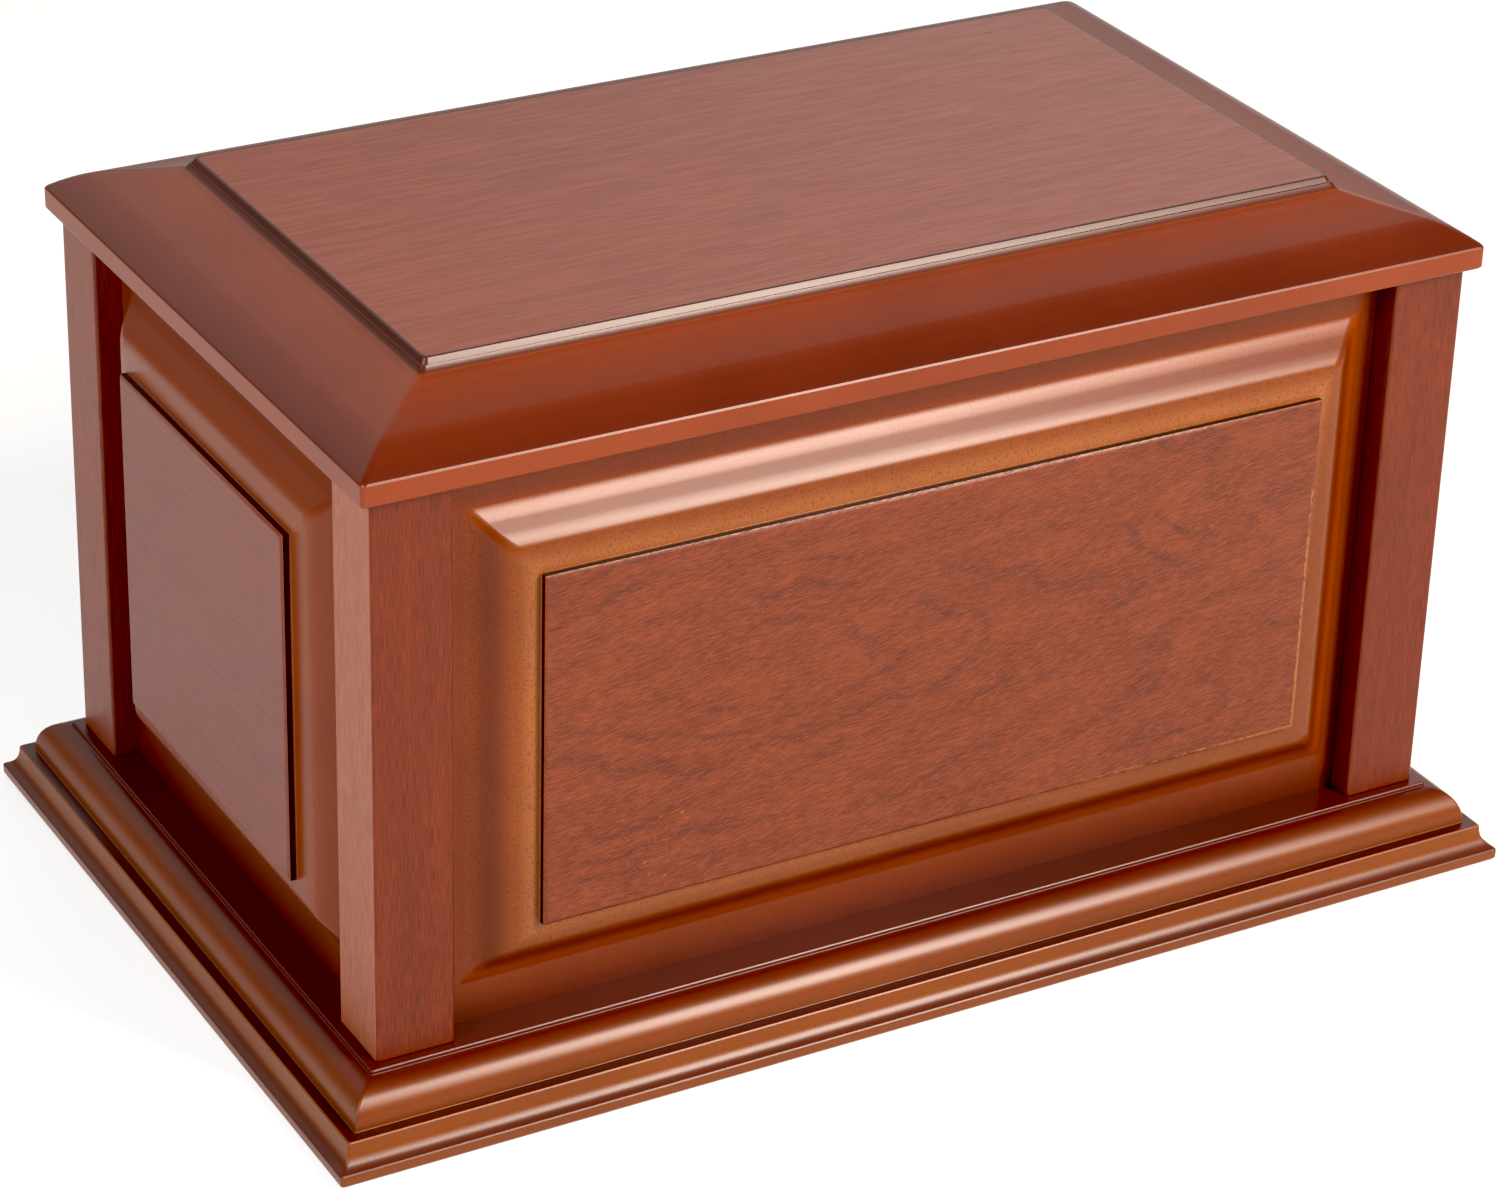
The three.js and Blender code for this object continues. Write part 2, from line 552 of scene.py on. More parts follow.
FRONT_VENEER = CherryVeneer(
    name="veneer_front_field",
    lacquer=SATIN,
    grain=Grain.LENGTH,
    ground=Tint(93, 41, 21),
    glow=Tint(122, 59, 33),
    shade=Tint(70, 31, 20),
    pore=Tint(63, 24, 14),
    turn=(0, math.radians(-9), 0),
    flame=Flame(heart=(-50 * MM, -79 * MM, 83 * MM), stretch=3.2, pitch=7 * MM, warp=3.4, share=0.55),
    band_share=0.16,
    sanded=Tint(141, 89, 45),
    pore_cell=(2.4 * MM, 0.17 * MM),
    pore_share=0.36,
    gleam_share=0.5,
)
SIDE_VENEER = CherryVeneer(
    name="veneer_side_field",
    lacquer=SATIN,
    grain=Grain.DEPTH,
    ground=Tint(100, 45, 29),
    glow=Tint(110, 51, 32),
    shade=Tint(86, 38, 24),
    pore=Tint(79, 34, 22),
    pore_cell=(12 * MM, 0.5 * MM),
    pore_share=0.25,
    band_cell=(90 * MM, 16 * MM),
)
LID_VENEER = CherryVeneer(
    name="veneer_lid_field",
    lacquer=SATIN,
    grain=Grain.LENGTH,
    ground=Tint(108, 47, 28),
    glow=Tint(118, 54, 31),
    shade=Tint(95, 40, 24),
    pore=Tint(87, 36, 22),
    turn=(0, 0, math.radians(1.5)),
    pore_cell=(16 * MM, 0.5 * MM),
    pore_share=0.3,
    band_cell=(120 * MM, 14 * MM),
)
POST_VENEER = CherryVeneer(
    name="veneer_posts",
    lacquer=SATIN,
    grain=Grain.UPRIGHT,
    ground=Tint(87, 32, 12),
    glow=Tint(109, 44, 17),
    shade=Tint(67, 25, 15),
    pore=Tint(56, 18, 9),
    pore_cell=(4.5 * MM, 0.17 * MM),
    pore_share=0.4,
    mottle_cell=(34 * MM, 2.4 * MM),
    band_cell=(60 * MM, 5 * MM),
    band_share=0.3,
)
# Paler copies of the post veneer for the posts' outer side faces: a painted sheen, standing for the light
# those faces catch.
POST_SIDE_SHEEN_VENEER = replace(
    POST_VENEER,
    name="veneer_post_sides_painted_sheen",
    ground=Tint(103, 42, 19),
    glow=Tint(129, 57, 25),
    shade=Tint(80, 34, 23),
    pore=Tint(68, 26, 15),
)
# The front posts' side faces get a paler copy still: more painted sheen, the haze of light on them baked into
# the colour.
POST_PAINTED_SHEEN_VENEER = replace(
    POST_VENEER,
    name="veneer_post_painted_sheen",
    ground=Tint(128, 68, 44),
    glow=Tint(148, 82, 52),
    shade=Tint(110, 58, 41),
    pore=Tint(99, 49, 33),
)
PANEL_STAIN = SprayedStain(
    name="stain_panel_moulding",
    lacquer=SPRAYED,
    tones=(
        (0.0, Tint(74, 18, 2)),
        (0.1, Tint(98, 39, 10)),
        (0.2, Tint(116, 52, 16)),
        (0.4, Tint(94, 36, 6)),
        (0.62, Tint(106, 51, 14)),
        (0.85, Tint(129, 74, 36)),
        (0.94, Tint(120, 67, 31)),
        # Near black on the step wall round the field: partly dark glaze, partly painted shade of the recess.
        (1.0, Tint(16, 3, 2)),
    ),
    speck=Tint(75, 31, 6),
    fleck=Tint(36, 22, 8),
    speck_share=0.6,
)
SIDE_STAIN = SprayedStain(
    name="stain_side_moulding",
    lacquer=SPRAYED,
    tones=(
        (0.0, Tint(80, 30, 12)),
        (0.1, Tint(94, 38, 15)),
        (0.2, Tint(99, 41, 16)),
        (0.4, Tint(104, 43, 17)),
        (0.62, Tint(109, 49, 21)),
        (0.85, Tint(114, 56, 27)),
        (0.94, Tint(96, 44, 18)),
        # Near black on the step wall round the field: partly dark glaze, partly painted shade of the recess.
        (1.0, Tint(40, 8, 5)),
    ),
    speck=Tint(77, 31, 9),
    fleck=Tint(50, 30, 14),
    speck_share=0.3,
)
LID_STAIN = SprayedStain(
    name="stain_lid_moulding",
    lacquer=SPRAYED,
    tones=(
        (0.0, Tint(112, 47, 17)),
        (0.1, Tint(78, 27, 13)),
        (0.25, Tint(86, 31, 15)),
        (0.4, Tint(95, 37, 18)),
        (0.6, Tint(103, 42, 20)),
        (0.75, Tint(112, 50, 26)),
        # The step is dark purple-brown, darkest at the field's arris: painted shade standing for the dark its
        # side runs reflect.
        (0.82, Tint(70, 32, 22)),
        (0.98, Tint(66, 29, 20)),
        (1.0, Tint(36, 14, 9)),
    ),
    speck=Tint(68, 25, 10),
    fleck=Tint(36, 20, 10),
    speck_share=0.25,
)
BASE_STAIN = SprayedStain(
    name="stain_base_moulding",
    lacquer=SPRAYED,
    tones=(
        (0.0, Tint(104, 51, 15)),
        (0.1, Tint(72, 30, 17)),
        (0.16, Tint(76, 31, 15)),
        (0.26, Tint(105, 52, 12)),
        (0.38, Tint(107, 53, 13)),
        # The ledge's dark red is partly stain, partly painted shade of the recess between cove and ovolo.
        (0.47, Tint(56, 12, 6)),
        (0.54, Tint(100, 48, 11)),
        (0.66, Tint(101, 46, 11)),
        # From the ovolo's upper part to the flat top the tone is dark red: painted shade for the dark these
        # upturned faces reflect.
        (0.85, Tint(71, 19, 7)),
        (1.0, Tint(68, 17, 6)),
    ),
    speck=Tint(70, 29, 8),
    fleck=Tint(44, 26, 8),
    speck_share=0.28,
)


# Moulded boards


class EdgePoint(NamedTuple):
    """A point of a moulded edge: how far in from the blank's edge, how high, and the stain's tone there."""

    inset: float
    height: float
    tone: float


@dataclass
class EdgeProfile:
    """A moulded edge, drawn from the blank's edge inwards."""

    corners: list[tuple[EdgePoint, float]] = field(default_factory=list)

    def line(self, inset: float, height: float, tone: float, ease: float = 0.0) -> EdgeProfile:
        """Draw a straight stretch.

        Args:
            inset: Where it ends, in from the edge.
            height: How high it ends.
            tone: The stain's tone at its end.
            ease: The rounding of the corner at its end.

        Returns:
            The same profile.
        """
        self.corners.append((EdgePoint(inset, height, tone), ease))
        return self

    def curve(self, handles: Sequence[tuple[float, float]], tone: float) -> EdgeProfile:
        """Draw a curved stretch.

        Args:
            handles: The curve's handles and its end, as insets and heights: two for a plain hollow or round,
                three for an ogee.
            tone: The stain's tone at its end.

        Returns:
            The same profile.
        """
        start = self.corners[-1][0]
        frame = [Vector(start[:2]), *(Vector(handle) for handle in handles)]
        for step in range(1, CURVE_STEPS + 1):
            share = step / CURVE_STEPS
            row = frame
            while len(row) > 1:
                row = [a.lerp(b, share) for a, b in zip(row, row[1:])]
            here = row[0]
            self.line(here.x, here.y, start.tone + (tone - start.tone) * share)
        return self

    def flat(self, across: float, rise: float, tone: float) -> EdgeProfile:
        """Take off an arris with a narrow flat, its own corners eased.

        Args:
            across: How far in the flat runs.
            rise: How far it climbs.
            tone: The stain's tone on it.

        Returns:
            The same profile.
        """
        last, _ = self.corners[-1]
        ease = FLAT_EASE * math.hypot(across, rise)
        self.corners[-1] = (last, ease)
        return self.line(last.inset + across, last.height + rise, tone, ease)

    def quarter_round(self, inset: float, height: float, tone: float) -> EdgeProfile:
        """Draw a quarter of an ellipse that starts upright and ends level.

        Args:
            inset: Where it ends, in from the edge.
            height: How high it ends.
            tone: The stain's tone at its end.

        Returns:
            The same profile.
        """
        start = self.corners[-1][0]
        for step in range(1, CURVE_STEPS + 1):
            angle = step / CURVE_STEPS * math.pi / 2
            self.line(
                start.inset + (inset - start.inset) * (1 - math.cos(angle)),
                start.height + (height - start.height) * math.sin(angle),
                start.tone + (tone - start.tone) * step / CURVE_STEPS,
            )
        return self

    def points(self) -> list[EdgePoint]:
        """Return the profile's points, with its eased corners rounded."""
        drawn = [self.corners[0][0]]
        for index in range(1, len(self.corners)):
            point, ease = self.corners[index]
            if ease == 0.0 or index + 1 == len(self.corners):
                drawn.append(point)
                continue
            corner = Vector(point[:2])
            back = (Vector(self.corners[index - 1][0][:2]) - corner).normalized() * ease + corner
            ahead = (Vector(self.corners[index + 1][0][:2]) - corner).normalized() * ease + corner
            for step in range(EASE_STEPS + 1):
                share = step / EASE_STEPS
                here = back.lerp(corner, share).lerp(corner.lerp(ahead, share), share)
                drawn.append(EdgePoint(here.x, here.y, point.tone))
        return drawn


class MouldedBoard:
    """A board lying flat, whose upper face is worked inwards along a profile, mitred at the corners."""

    def __init__(self, length: float, depth: float, bottom: float, top: float) -> None:
        """Cut the blank.

        Args:
            length: Its size along X.
            depth: Its size along Y.
            bottom: The height of its underside.
            top: The height of its upper face.
        """
        self.bm = bmesh.new()
        self.tone = self.bm.verts.layers.float.new(TONE)
        self.worn = self.bm.loops.layers.float.new(WORN)
        blank = bmesh.ops.create_cube(self.bm, size=1.0)["verts"]
        bmesh.ops.scale(self.bm, vec=(length, depth, top - bottom), verts=blank)
        bmesh.ops.translate(self.bm, vec=(0, 0, (top + bottom) / 2), verts=blank)
        self.bm.normal_update()
        self.face = max(self.bm.faces, key=lambda face: face.normal.z)

    def set_in(self, side: float, end: float, lift: float) -> None:
        """Mark out a smaller face on the upper one, with unlike margins.

        Args:
            side: The margin along X.
            end: The margin along Y.
            lift: How far the smaller face sits from the middle along Y.
        """
        blank = self.face.verts[0].co - self.face.verts[2].co
        bmesh.ops.inset_region(self.bm, faces=[self.face], thickness=min(side, end), use_even_offset=True)
        marked = self.face.verts[0].co - self.face.verts[2].co
        scale = ((abs(blank.x) - 2 * side) / abs(marked.x), (abs(blank.y) - 2 * end) / abs(marked.y), 1)
        bmesh.ops.scale(self.bm, vec=scale, verts=self.face.verts)
        bmesh.ops.translate(self.bm, vec=(0, lift, 0), verts=self.face.verts)

    def work_edge(self, profile: EdgeProfile, finish: int = 0) -> None:
        """Cut a moulded edge into the upper face, which is left inside it.

        Args:
            profile: The edge, whose first point is the face's own edge.
            finish: Which of the piece's finishes the edge takes.
        """
        points = profile.points()
        for corner in self.face.verts:
            corner[self.tone] = points[0].tone
        for before, point in zip(points, points[1:]):
            ring = bmesh.ops.inset_region(
                self.bm,
                faces=[self.face],
                thickness=point.inset - before.inset,
                depth=point.height - before.height,
                use_even_offset=True,
            )["faces"]
            for face in ring:
                face.material_index = finish
            for corner in self.face.verts:
                corner[self.tone] = point.tone

    def ease_underside(self, radius: float) -> None:
        """Round the lower arris.

        Args:
            radius: How far the rounding reaches.
        """
        underside = min(self.bm.faces, key=lambda face: face.calc_center_median().z)
        self.round_edges(list(underside.edges), radius, EASE_STEPS)

    def ease_mitres(self, radius: float, above: float, below: float = math.inf) -> None:
        """Round the mitred corners.

        Args:
            radius: How far the rounding reaches.
            above: The height above which corners are rounded.
            below: The height below which they are.
        """
        mitres = [
            edge
            for edge in self.bm.edges
            if self._is_mitre(edge) and all(above < corner.co.z < below for corner in edge.verts)
        ]
        self.round_edges(mitres, radius, EASE_STEPS)

    @staticmethod
    def _is_mitre(edge: bmesh.types.BMEdge) -> bool:
        """Tell whether an edge runs along a mitre: as far in as along, or straight up."""
        run = edge.verts[1].co - edge.verts[0].co
        return abs(abs(run.x) - abs(run.y)) < HAIRLINE < run.length

    def round_edges(self, edges: list[bmesh.types.BMEdge], radius: float, steps: int) -> None:
        """Round some edges.

        Args:
            edges: The edges.
            radius: How far the rounding reaches.
            steps: How many flats it has.
        """
        bmesh.ops.bevel(
            self.bm,
            geom=edges,
            offset=radius,
            offset_type="OFFSET",
            affect="EDGES",
            segments=steps,
            profile=0.5,
            material=-1,
            clamp_overlap=True,
        )

    def stand(self, turn: float, foot: Vector) -> None:
        """Stand the board up to face -Y, turn it about the upright axis and put it in its place.

        Args:
            turn: The turn about Z.
            foot: Where its own origin goes.
        """
        upright = Matrix.Rotation(math.pi / 2, 4, "X")
        place = Matrix.Translation(foot) @ Matrix.Rotation(turn, 4, "Z") @ upright
        bmesh.ops.transform(self.bm, matrix=place, verts=self.bm.verts)

    def piece(self, name: str, node: str, slot: str, finishes: Sequence[Finish]) -> bpy.types.Object:
        """Make the finished board a piece that stands for a solid.

        Args:
            name: The piece's name.
            node: The solid it stands for.
            slot: The record's material slot; not used.
            finishes: Its finishes, in the order that its faces number them.

        Returns:
            The piece.
        """
        self.bm.normal_update()
        for face in self.bm.faces:
            face.smooth = True
        for edge in self.bm.edges:
            edge.smooth = edge.calc_face_angle(0.0) < CREASE_ANGLE
        mesh = bpy.data.meshes.new(name)
        self.bm.to_mesh(mesh)
        self.bm.free()
        for finish in finishes:
            mesh.materials.append(finish.material())
        piece = bpy.data.objects.new(name, mesh)
        bpy.context.scene.collection.objects.link(piece)
        flats = piece.modifiers.new("flats_stay_flat", "WEIGHTED_NORMAL")
        flats.keep_sharp = True
        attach(piece, BODY)
        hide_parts(node)
        return piece


# The urn's pieces


@dataclass
class BaseBoard:
    """The base board: a plain band, a cove, a narrow ledge, an ovolo and a small fillet."""

    node: str = "base"
    band_top: float = 2.875 * MM
    cove_inset: float = 3 * MM
    cove_knee: float = 4 * MM
    cove_top: float = 8.125 * MM
    ledge_inset: float = 5.75 * MM
    ovolo_foot: float = 8.625 * MM
    ovolo_inset: float = 12.25 * MM
    ovolo_top: float = 15.75 * MM
    foot_ease: float = 0.8 * MM
    arris: tuple[float, float] = (0.21 * MM, 0.29 * MM)
    corner_hollow: float = 0.35 * MM
    mitre_ease: float = 0.4 * MM

    def edge(self, top: float) -> EdgeProfile:
        """Draw the moulded edge.

        Args:
            top: The height of the board's flat top.

        Returns:
            The profile, from the top of the band.
        """
        across, rise = self.arris
        hollow = self.corner_hollow
        profile = EdgeProfile().line(0, self.band_top - 2 * rise, 0.0).line(0, self.band_top - rise, 0.05)
        profile.flat(across, rise, 0.1)
        profile.curve(((self.cove_inset, self.cove_knee), (self.cove_inset, self.cove_top - rise)), 0.35)
        profile.flat(across, rise, 0.38)
        profile.line(self.cove_inset + 3 * across, self.cove_top, 0.47)
        profile.line(self.ledge_inset - hollow, self.cove_top, 0.47)
        profile.curve(((self.ledge_inset, self.cove_top), (self.ledge_inset, self.cove_top + hollow)), 0.56)
        profile.line(self.ledge_inset, self.ovolo_foot, 0.58)
        # The ovolo darkens towards its top, a painted shade.
        profile.quarter_round(self.ovolo_inset - hollow, self.ovolo_top, 0.85)
        profile.curve(((self.ovolo_inset, self.ovolo_top), (self.ovolo_inset, self.ovolo_top + hollow)), 0.88)
        profile.line(self.ovolo_inset, top - rise, 0.92)
        profile.flat(across, rise, 0.96)
        return profile.line(self.ovolo_inset + 6 * across, top, 1.0)

    def build(self) -> list[bpy.types.Object]:
        """Model and dress the board."""
        low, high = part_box(self.node)
        board = MouldedBoard(high.x - low.x, high.y - low.y, low.z, self.band_top - 2 * self.arris[1])
        board.ease_underside(self.foot_ease)
        board.work_edge(self.edge(high.z))
        board.ease_mitres(self.mitre_ease, low.z - MM)
        return [board.piece("base_board", self.node, "base_board", [BASE_STAIN])]


@dataclass
class CornerPosts:
    """The four square corner posts, with eased arrises; their outer side faces take paler copies of the
    veneer, a painted sheen.
    """

    # Which paler copy each post's side faces take: painted sheen, strongest on the front posts.
    side_sheen_leaves: Mapping[str, CherryVeneer] = field(
        default_factory=lambda: {
            "post_front_left": POST_PAINTED_SHEEN_VENEER,
            "post_front_right": POST_PAINTED_SHEEN_VENEER,
            "post_back_left": POST_SIDE_SHEEN_VENEER,
            "post_back_right": POST_SIDE_SHEEN_VENEER,
        }
    )
    arris_ease: float = 0.75 * MM
    end_ease: float = 0.2 * MM

    def build(self) -> list[bpy.types.Object]:
        """Model and dress the posts."""
        return [self._post(node, leaf) for node, leaf in self.side_sheen_leaves.items()]

    def _post(self, node: str, side_sheen_leaf: CherryVeneer) -> bpy.types.Object:
        """Model and dress one post.

        Args:
            node: The solid it stands for.
            side_sheen_leaf: The paler copy of the veneer on its outer face along X, a painted sheen.

        Returns:
            The piece.
        """
        low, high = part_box(node)
        size = high - low
        middle = (low + high) / 2
        post = MouldedBoard(size.x, size.y, low.z, high.z)
        post.ease_mitres(self.arris_ease, low.z - MM)
        ends = [
            edge for edge in post.bm.edges if abs(edge.verts[0].co.z - edge.verts[1].co.z) < self.end_ease
        ]
        post.round_edges(ends, self.end_ease, 1)
        bmesh.ops.translate(post.bm, vec=(middle.x, middle.y, 0), verts=post.bm.verts)
        post.bm.normal_update()
        # Faces turned out along X take the paler copy, a painted sheen.
        for face in post.bm.faces:
            face.material_index = int(face.normal.x * math.copysign(1, low.x) > abs(face.normal.y))
        return post.piece(f"{node}_veneered", node, "post_veneer", [POST_VENEER, side_sheen_leaf])


@dataclass
class RaisedPanels:
    """The four raised panels: a set-back margin, an ogee, a sloping shoulder, a step and a veneered field."""

    thickness: float = 11.25 * MM
    field_side_margin: float = 17.95 * MM
    field_top_margin: float = 22.875 * MM
    field_lift: float = 0.25 * MM
    moulding_width: float = 14.5 * MM
    ogee_width: float = 9.25 * MM
    ogee_rise: float = 5.75 * MM
    ogee_foot: tuple[float, float] = (3.4 * MM, 0.25 * MM)
    ogee_swell: float = 2.9 * MM
    shoulder_width: float = 4.75 * MM
    shoulder_rise: float = 0.7 * MM
    field_rise: float = 8.5 * MM
    field_arris: tuple[float, float] = (0.7 * MM, 0.42 * MM)
    step_hollow: float = 0.35 * MM
    sanded_width: float = 0.4 * MM
    worn_upwards: tuple[float, float] = (1.0, 0.3)
    worn_rightwards: tuple[float, float] = (-0.4, 1.0)
    # The margin's tones: darker at the foot than at the head, a painted shade near the base.
    margin_foot_tone: float = 0.0
    margin_head_tone: float = 0.2
    shaded_tone: float = 0.6
    ogee_mitre_ease: float = 1.5 * MM

    def build(self) -> list[bpy.types.Object]:
        """Model and dress the panels."""
        quarter = math.pi / 2
        return [
            self._panel("panel_front", 0, PANEL_STAIN, FRONT_VENEER),
            self._panel("panel_right", quarter, SIDE_STAIN, SIDE_VENEER),
            self._panel("panel_back", 2 * quarter, SIDE_STAIN, FRONT_VENEER),
            self._panel("panel_left", -quarter, SIDE_STAIN, SIDE_VENEER),
        ]

    def moulding(self) -> EdgeProfile:
        """Draw the moulding, from the margin to the foot of the step."""
        slope = self.shoulder_rise / self.shoulder_width
        swell = (self.ogee_width - self.ogee_swell, self.ogee_rise - self.ogee_swell * slope)
        shoulder = self.ogee_rise + self.shoulder_rise
        profile = EdgeProfile().line(0, 0, 0.1)
        profile.curve((self.ogee_foot, swell, (self.ogee_width, self.ogee_rise)), 0.62)
        profile.line(self.ogee_width + self.shoulder_width, shoulder, 0.87)
        step = self.moulding_width
        hollow = self.step_hollow
        profile.line(step - hollow, shoulder, 0.88)
        profile.curve(((step, shoulder), (step, shoulder + hollow)), 0.94)
        # The step wall takes the stain's last tone, near black: partly dark glaze, partly painted shade.
        profile.line(step, shoulder + 1.2 * hollow, 1.0)
        return profile.line(step, self.field_rise - self.field_arris[1], 1.0)

    def field_edge(self) -> EdgeProfile:
        """Draw the arris of the field, and the narrow strip inside it that is sanded."""
        across, rise = self.field_arris
        profile = EdgeProfile().line(0, 0, 1.0).flat(across, rise, 1.0)
        return profile.line(across + self.sanded_width, rise, 1.0)

    def _panel(self, node: str, turn: float, stain: SprayedStain, veneer: CherryVeneer) -> bpy.types.Object:
        """Model and dress one panel.

        Args:
            node: The solid it stands for.
            turn: Which way it faces, as a turn from the front.
            stain: The finish of its moulding.
            veneer: The finish of its field.

        Returns:
            The piece.
        """
        low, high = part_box(node)
        facing = Matrix.Rotation(turn, 3, "Z") @ Vector((0, -1, 0))
        size = high - low
        length = abs(size.cross(facing).z)
        outermost = max(low.dot(facing), high.dot(facing))
        board = MouldedBoard(length, size.z, -self.thickness, 0)
        # The margin is darker at its foot than at its head, a painted shade near the base.
        for corner in board.face.verts:
            corner[board.tone] = self.margin_foot_tone if corner.co.y < 0 else self.margin_head_tone
        board.set_in(
            self.field_side_margin - self.moulding_width,
            self.field_top_margin - self.moulding_width,
            self.field_lift,
        )
        board.work_edge(self.moulding())
        self._shade_corner(board)
        self._raise_field(board)
        board.ease_mitres(self.ogee_mitre_ease, CLEARANCE, self.ogee_rise + CLEARANCE)
        board.stand(turn, facing * (outermost - self.field_rise) + Vector((0, 0, (low.z + high.z) / 2)))
        return board.piece(f"{node}_raised", node, "raised_panel", [stain, veneer])

    def _shade_corner(self, board: MouldedBoard) -> None:
        """Spray the lower right corner's shoulder darker.

        Args:
            board: The panel, lying flat, its moulding worked.
        """
        for corner in board.bm.verts:
            if corner.co.x > 0 > corner.co.y and self.shaded_tone < corner[board.tone] < 1.0:
                corner[board.tone] = self.shaded_tone

    def _raise_field(self, board: MouldedBoard) -> None:
        """Finish the step with the field's arris, and mark where it is sanded through.

        Args:
            board: The panel, lying flat, worked up to the field's edge.
        """
        board.face.material_index = 1
        left, right = (pick(corner.co.x for corner in board.face.verts) for pick in (min, max))
        bottom, top = (pick(corner.co.y for corner in board.face.verts) for pick in (min, max))
        board.work_edge(self.field_edge(), 1)
        strip = self.field_arris[0] + self.sanded_width
        edge = strip - CLEARANCE
        at_foot, at_head = self.worn_upwards
        at_left, at_right = self.worn_rightwards
        for face in board.bm.faces:
            if face.material_index == 0:
                continue
            middle = face.calc_center_median()
            for corner in face.loops:
                place = corner.vert.co
                if right - middle.x < strip and right - place.x < edge:
                    corner[board.worn] = at_foot + (at_head - at_foot) * (place.y - bottom) / (top - bottom)
                elif middle.y - bottom < strip and place.y - bottom < edge:
                    corner[board.worn] = at_left + (at_right - at_left) * (place.x - left) / (right - left)


@dataclass
class LidBoard:
    """The lid: a plain rim, a crown that flattens inwards, a small ogee step and a veneered field."""

    node: str = "lid"
    rim_height: float = 5.125 * MM
    rim_arris: tuple[float, float] = (0.25 * MM, 0.42 * MM)
    foot_ease: float = 0.5 * MM
    crown_knee: tuple[float, float] = (5.25 * MM, 3.75 * MM)
    crown_shoulder: tuple[float, float] = (9.5 * MM, 4.875 * MM)
    crown_slope: tuple[float, float] = (16.5 * MM, 6.625 * MM)
    step_foot: tuple[float, float] = (22.25 * MM, 8.5 * MM)
    step_hollow: tuple[float, float] = (0.3 * MM, 0.1 * MM)
    step_bead: tuple[float, float] = (0.7 * MM, 1.2 * MM)
    step_quirk: float = 0.3 * MM
    field_arris: tuple[float, float] = (0.2 * MM, 0.06 * MM)
    field_inset: float = 24.25 * MM
    mitre_ease: float = 1.0 * MM

    def edge(self, field_height: float) -> EdgeProfile:
        """Draw the moulded edge.

        Args:
            field_height: The field's height above the top of the rim.

        Returns:
            The profile, from below the rim's upper arris.
        """
        across, rise = self.rim_arris
        profile = EdgeProfile().line(0, -2 * rise, 0.0).line(0, -rise, 0.0)
        profile.flat(across, rise, 0.1)
        profile.curve((self.crown_knee, self.crown_shoulder), 0.4)
        profile.curve((self.crown_slope, self.step_foot), 0.75)
        foot = Vector(self.step_foot) + Vector(self.step_hollow)
        bead = foot + Vector(self.step_bead)
        level = Vector((self.field_inset, field_height))
        arris = level - Vector(self.field_arris)
        # The step takes the stain's dark tones, a painted shade.
        profile.line(foot.x, foot.y, 0.8)
        profile.line(bead.x, bead.y, 0.88)
        profile.line(bead.x + self.step_quirk, bead.y, 0.92)
        profile.line(arris.x, arris.y, 0.96)
        profile.line(level.x, level.y, 1.0)
        return profile.line(level.x + 2 * self.field_arris[0], level.y, 1.0)

    def build(self) -> list[bpy.types.Object]:
        """Model and dress the lid."""
        low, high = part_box(self.node)
        rim_top = low.z + self.rim_height
        board = MouldedBoard(high.x - low.x, high.y - low.y, low.z - rim_top, -2 * self.rim_arris[1])
        board.ease_underside(self.foot_ease)
        board.work_edge(self.edge(high.z - rim_top))
        board.face.material_index = 1
        board.ease_mitres(self.mitre_ease, low.z - rim_top - MM)
        bmesh.ops.translate(board.bm, vec=(0, 0, rim_top), verts=board.bm.verts)
        return [board.piece("lid_board", self.node, "lid_board", [LID_STAIN, LID_VENEER])]


# Studio


def direction(azimuth: float, elevation: float) -> Vector:
    """Return the way out from the urn.

    Args:
        azimuth: The angle to the right of the front.
        elevation: The angle above the floor.

    Returns:
        A unit vector.
    """
    level = math.cos(elevation)
    return Vector((level * math.sin(azimuth), -level * math.cos(azimuth), math.sin(elevation)))


@dataclass(frozen=True)
class Softbox:
    """A soft lamp that faces the urn."""

    name: str
    azimuth: float
    elevation: float
    distance: float
    width: float
    height: float
    power: float
    tint: Tint

    def build(self, target: Vector) -> None:
        """Hang the lamp.

        Args:
            target: What it faces.
        """
        lamp = bpy.data.lights.new(self.name, "AREA")
        lamp.shape = "RECTANGLE"
        lamp.size = self.width
        lamp.size_y = self.height
        lamp.energy = self.power
        lamp.color = self.tint.linear()[:3]
        towards = direction(self.azimuth, self.elevation)
        holder = bpy.data.objects.new(self.name, lamp)
        holder.location = target + towards * self.distance
        holder.rotation_euler = towards.to_track_quat("Z", "Y").to_euler()
        bpy.context.scene.collection.objects.link(holder)


@dataclass(frozen=True)
class Glow:
    """A soft glow in the surroundings: where it is, how its edge fades, and its strength."""

    towards: tuple[float, float, float]
    reach: tuple[float, float]
    strength: float


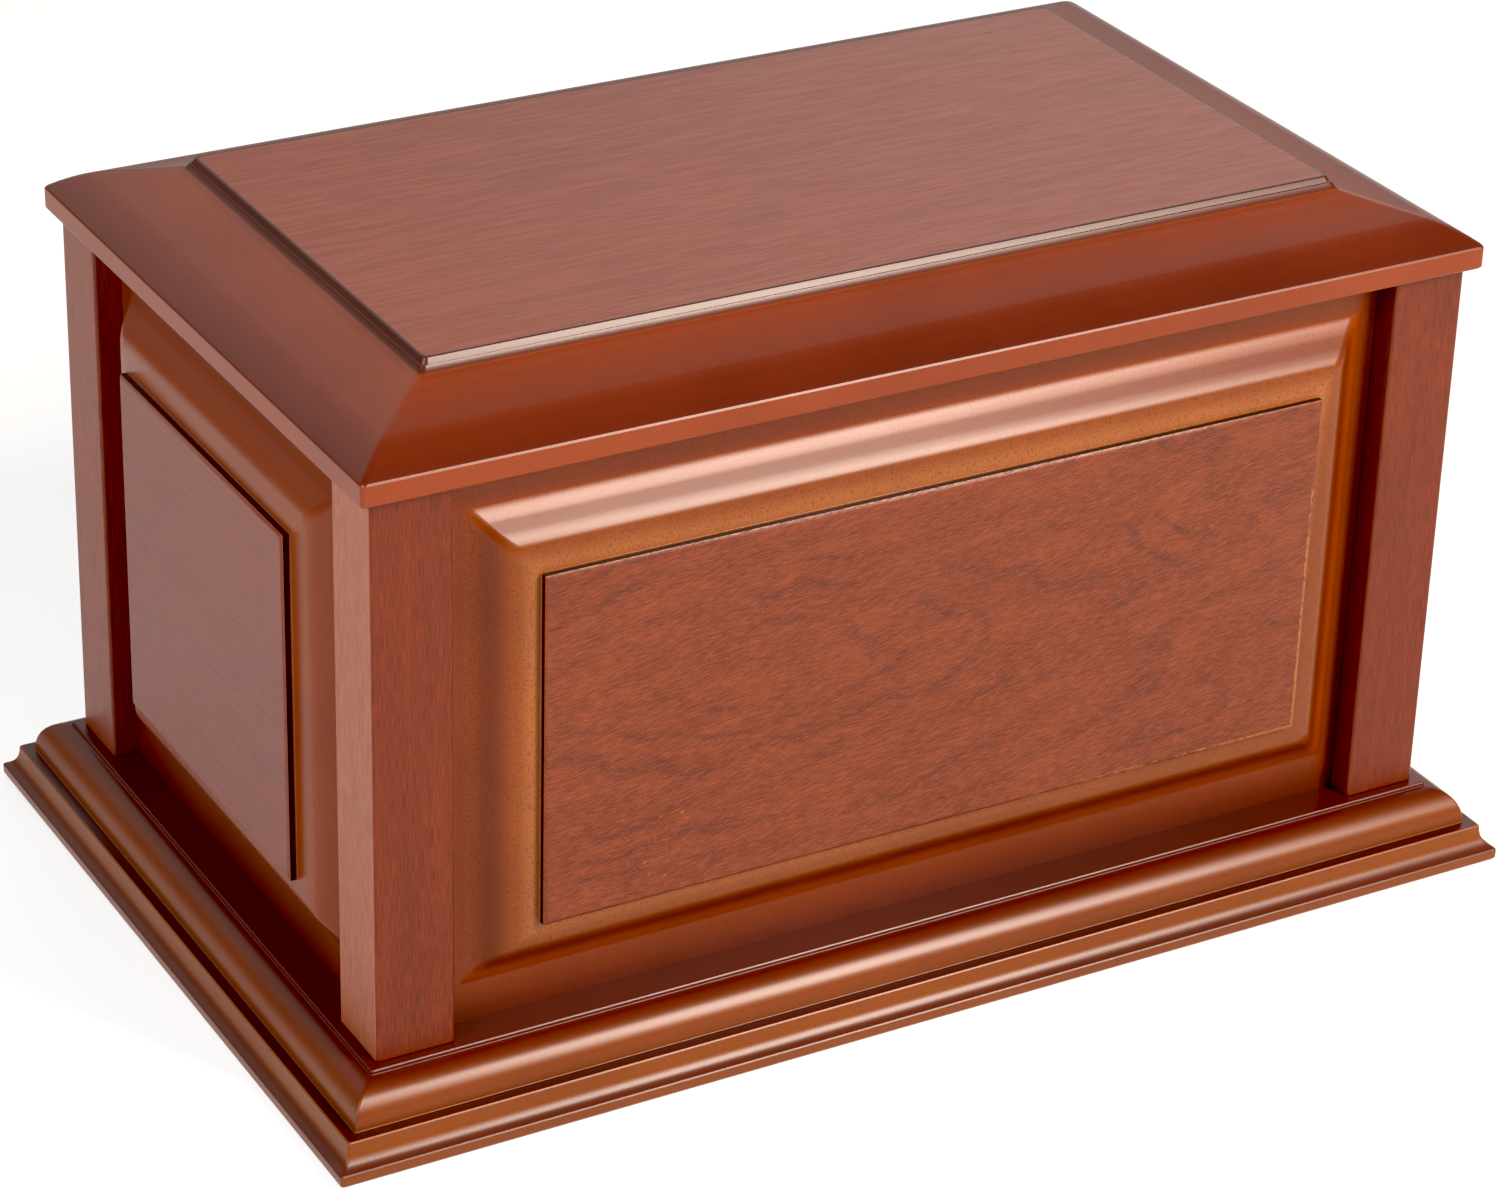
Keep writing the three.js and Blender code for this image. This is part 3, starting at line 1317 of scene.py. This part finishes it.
@dataclass
class Studio:
    """A white floor, dim surroundings with glows at the back, two soft lamps and the camera."""

    floor_size: float = 2.4
    floor_tint: Tint = Tint(192, 192, 192)
    floor_roughness: float = 0.9
    floor_specular: float = 0.1
    floor_glow: float = 0.48
    floor_drop: float = 0.1 * MM
    ambient: float = 0.35
    ambient_tint: Tint = Tint(255, 251, 246)
    glows: tuple[Glow, ...] = (
        Glow(towards=(0.56, 0.68, 0.47), reach=(0.925, 0.99), strength=1.55),
        Glow(towards=(-0.1, 0.86, 0.5), reach=(0.87, 0.97), strength=0.8),
    )
    key: Softbox = Softbox(
        name="key_softbox",
        azimuth=math.radians(28),
        elevation=math.radians(31),
        distance=1.5,
        width=0.34,
        height=0.76,
        power=41.5,
        tint=Tint(255, 238, 222),
    )
    fill: Softbox = Softbox(
        name="fill_softbox",
        azimuth=math.radians(-66),
        elevation=math.radians(30),
        distance=0.9,
        width=0.5,
        height=0.5,
        power=7.5,
        tint=Tint(250, 252, 255),
    )
    black_level: float = 0.017
    camera_azimuth: float = math.radians(-29.8446)
    camera_elevation: float = math.radians(27.6481)
    camera_roll: float = math.radians(1.6916)
    camera_place: tuple[float, float, float] = (-0.4449198, -0.7754769, 0.5236119)
    camera_lens: float = 111.301
    camera_sensor: float = 36.0

    def build(self) -> None:
        """Set up the studio."""
        low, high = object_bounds()
        middle = (low + high) / 2
        self._floor()
        self._surroundings()
        self.key.build(middle)
        self.fill.build(middle)
        self._camera()
        self._film()

    def _film(self) -> None:
        """Give the picture plain colours and the photograph's deep blacks."""
        film = bpy.context.scene.view_settings
        film.view_transform = "Standard"
        film.use_curve_mapping = True
        film.curve_mapping.black_level = (self.black_level,) * 3
        film.curve_mapping.update()

    def _floor(self) -> None:
        """Lay the floor."""
        sheet_mesh = bmesh.new()
        bmesh.ops.create_grid(sheet_mesh, x_segments=1, y_segments=1, size=self.floor_size / 2)
        bmesh.ops.translate(sheet_mesh, vec=(0, 0, -self.floor_drop), verts=sheet_mesh.verts)
        mesh = bpy.data.meshes.new("floor")
        sheet_mesh.to_mesh(mesh)
        sheet_mesh.free()
        material = bpy.data.materials.new("pale_floor")
        material.use_nodes = True
        sheet = ShaderSheet(material.node_tree)
        shader = sheet.node(
            "ShaderNodeBsdfPrincipled",
            {},
            {
                "Base Color": self.floor_tint.linear(),
                "Roughness": self.floor_roughness,
                "Specular IOR Level": self.floor_specular,
                "Emission Color": Tint(255, 255, 255).linear(),
                "Emission Strength": self.floor_glow,
            },
        )
        sheet.node("ShaderNodeOutputMaterial", {}, {"Surface": shader.outputs[0]})
        mesh.materials.append(material)
        floor = bpy.data.objects.new("floor", mesh)
        bpy.context.scene.collection.objects.link(floor)
        floor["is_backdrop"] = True

    def _surroundings(self) -> None:
        """Light the world: dim, with soft glows behind the urn."""
        world = bpy.data.worlds.new("studio")
        world.use_nodes = True
        bpy.context.scene.world = world
        sheet = ShaderSheet(world.node_tree)
        way = sheet.node("ShaderNodeTexCoord", {}, {}).outputs["Generated"]
        strength: Number = self.ambient
        for glow in self.glows:
            near = sheet.number(
                "ShaderNodeVectorMath", {"operation": "DOT_PRODUCT"}, {0: way, 1: glow.towards}, "Value"
            )
            strength = strength + near.step(*glow.reach) * glow.strength
        light = sheet.node(
            "ShaderNodeBackground", {}, {"Color": self.ambient_tint.linear(), "Strength": strength}
        )
        sheet.node("ShaderNodeOutputWorld", {}, {"Surface": light.outputs[0]})

    def _camera(self) -> None:
        """Put the camera at the photograph's viewpoint."""
        side = Vector((math.cos(self.camera_azimuth), math.sin(self.camera_azimuth), 0))
        back = direction(self.camera_azimuth, self.camera_elevation)
        rise = back.cross(side)
        right = math.cos(self.camera_roll) * side + math.sin(self.camera_roll) * rise
        up = math.cos(self.camera_roll) * rise - math.sin(self.camera_roll) * side
        lens = bpy.data.cameras.new("camera")
        lens.lens = self.camera_lens
        lens.sensor_width = self.camera_sensor
        camera = bpy.data.objects.new("camera", lens)
        turned = Matrix((right, up, back)).transposed().to_4x4()
        camera.matrix_world = Matrix.Translation(self.camera_place) @ turned
        bpy.context.scene.collection.objects.link(camera)
        bpy.context.scene.camera = camera


def main() -> None:
    """Dress the urn piece by piece, and set up the studio round it."""
    logging.basicConfig(level=logging.INFO, format="%(name)s: %(message)s")
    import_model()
    for assembly in (BaseBoard(), CornerPosts(), RaisedPanels(), LidBoard()):
        for piece in assembly.build():
            LOG.info("%s: %d faces", piece.name, len(piece.data.polygons))
    Studio().build()


if __name__ == "__main__":
    main()
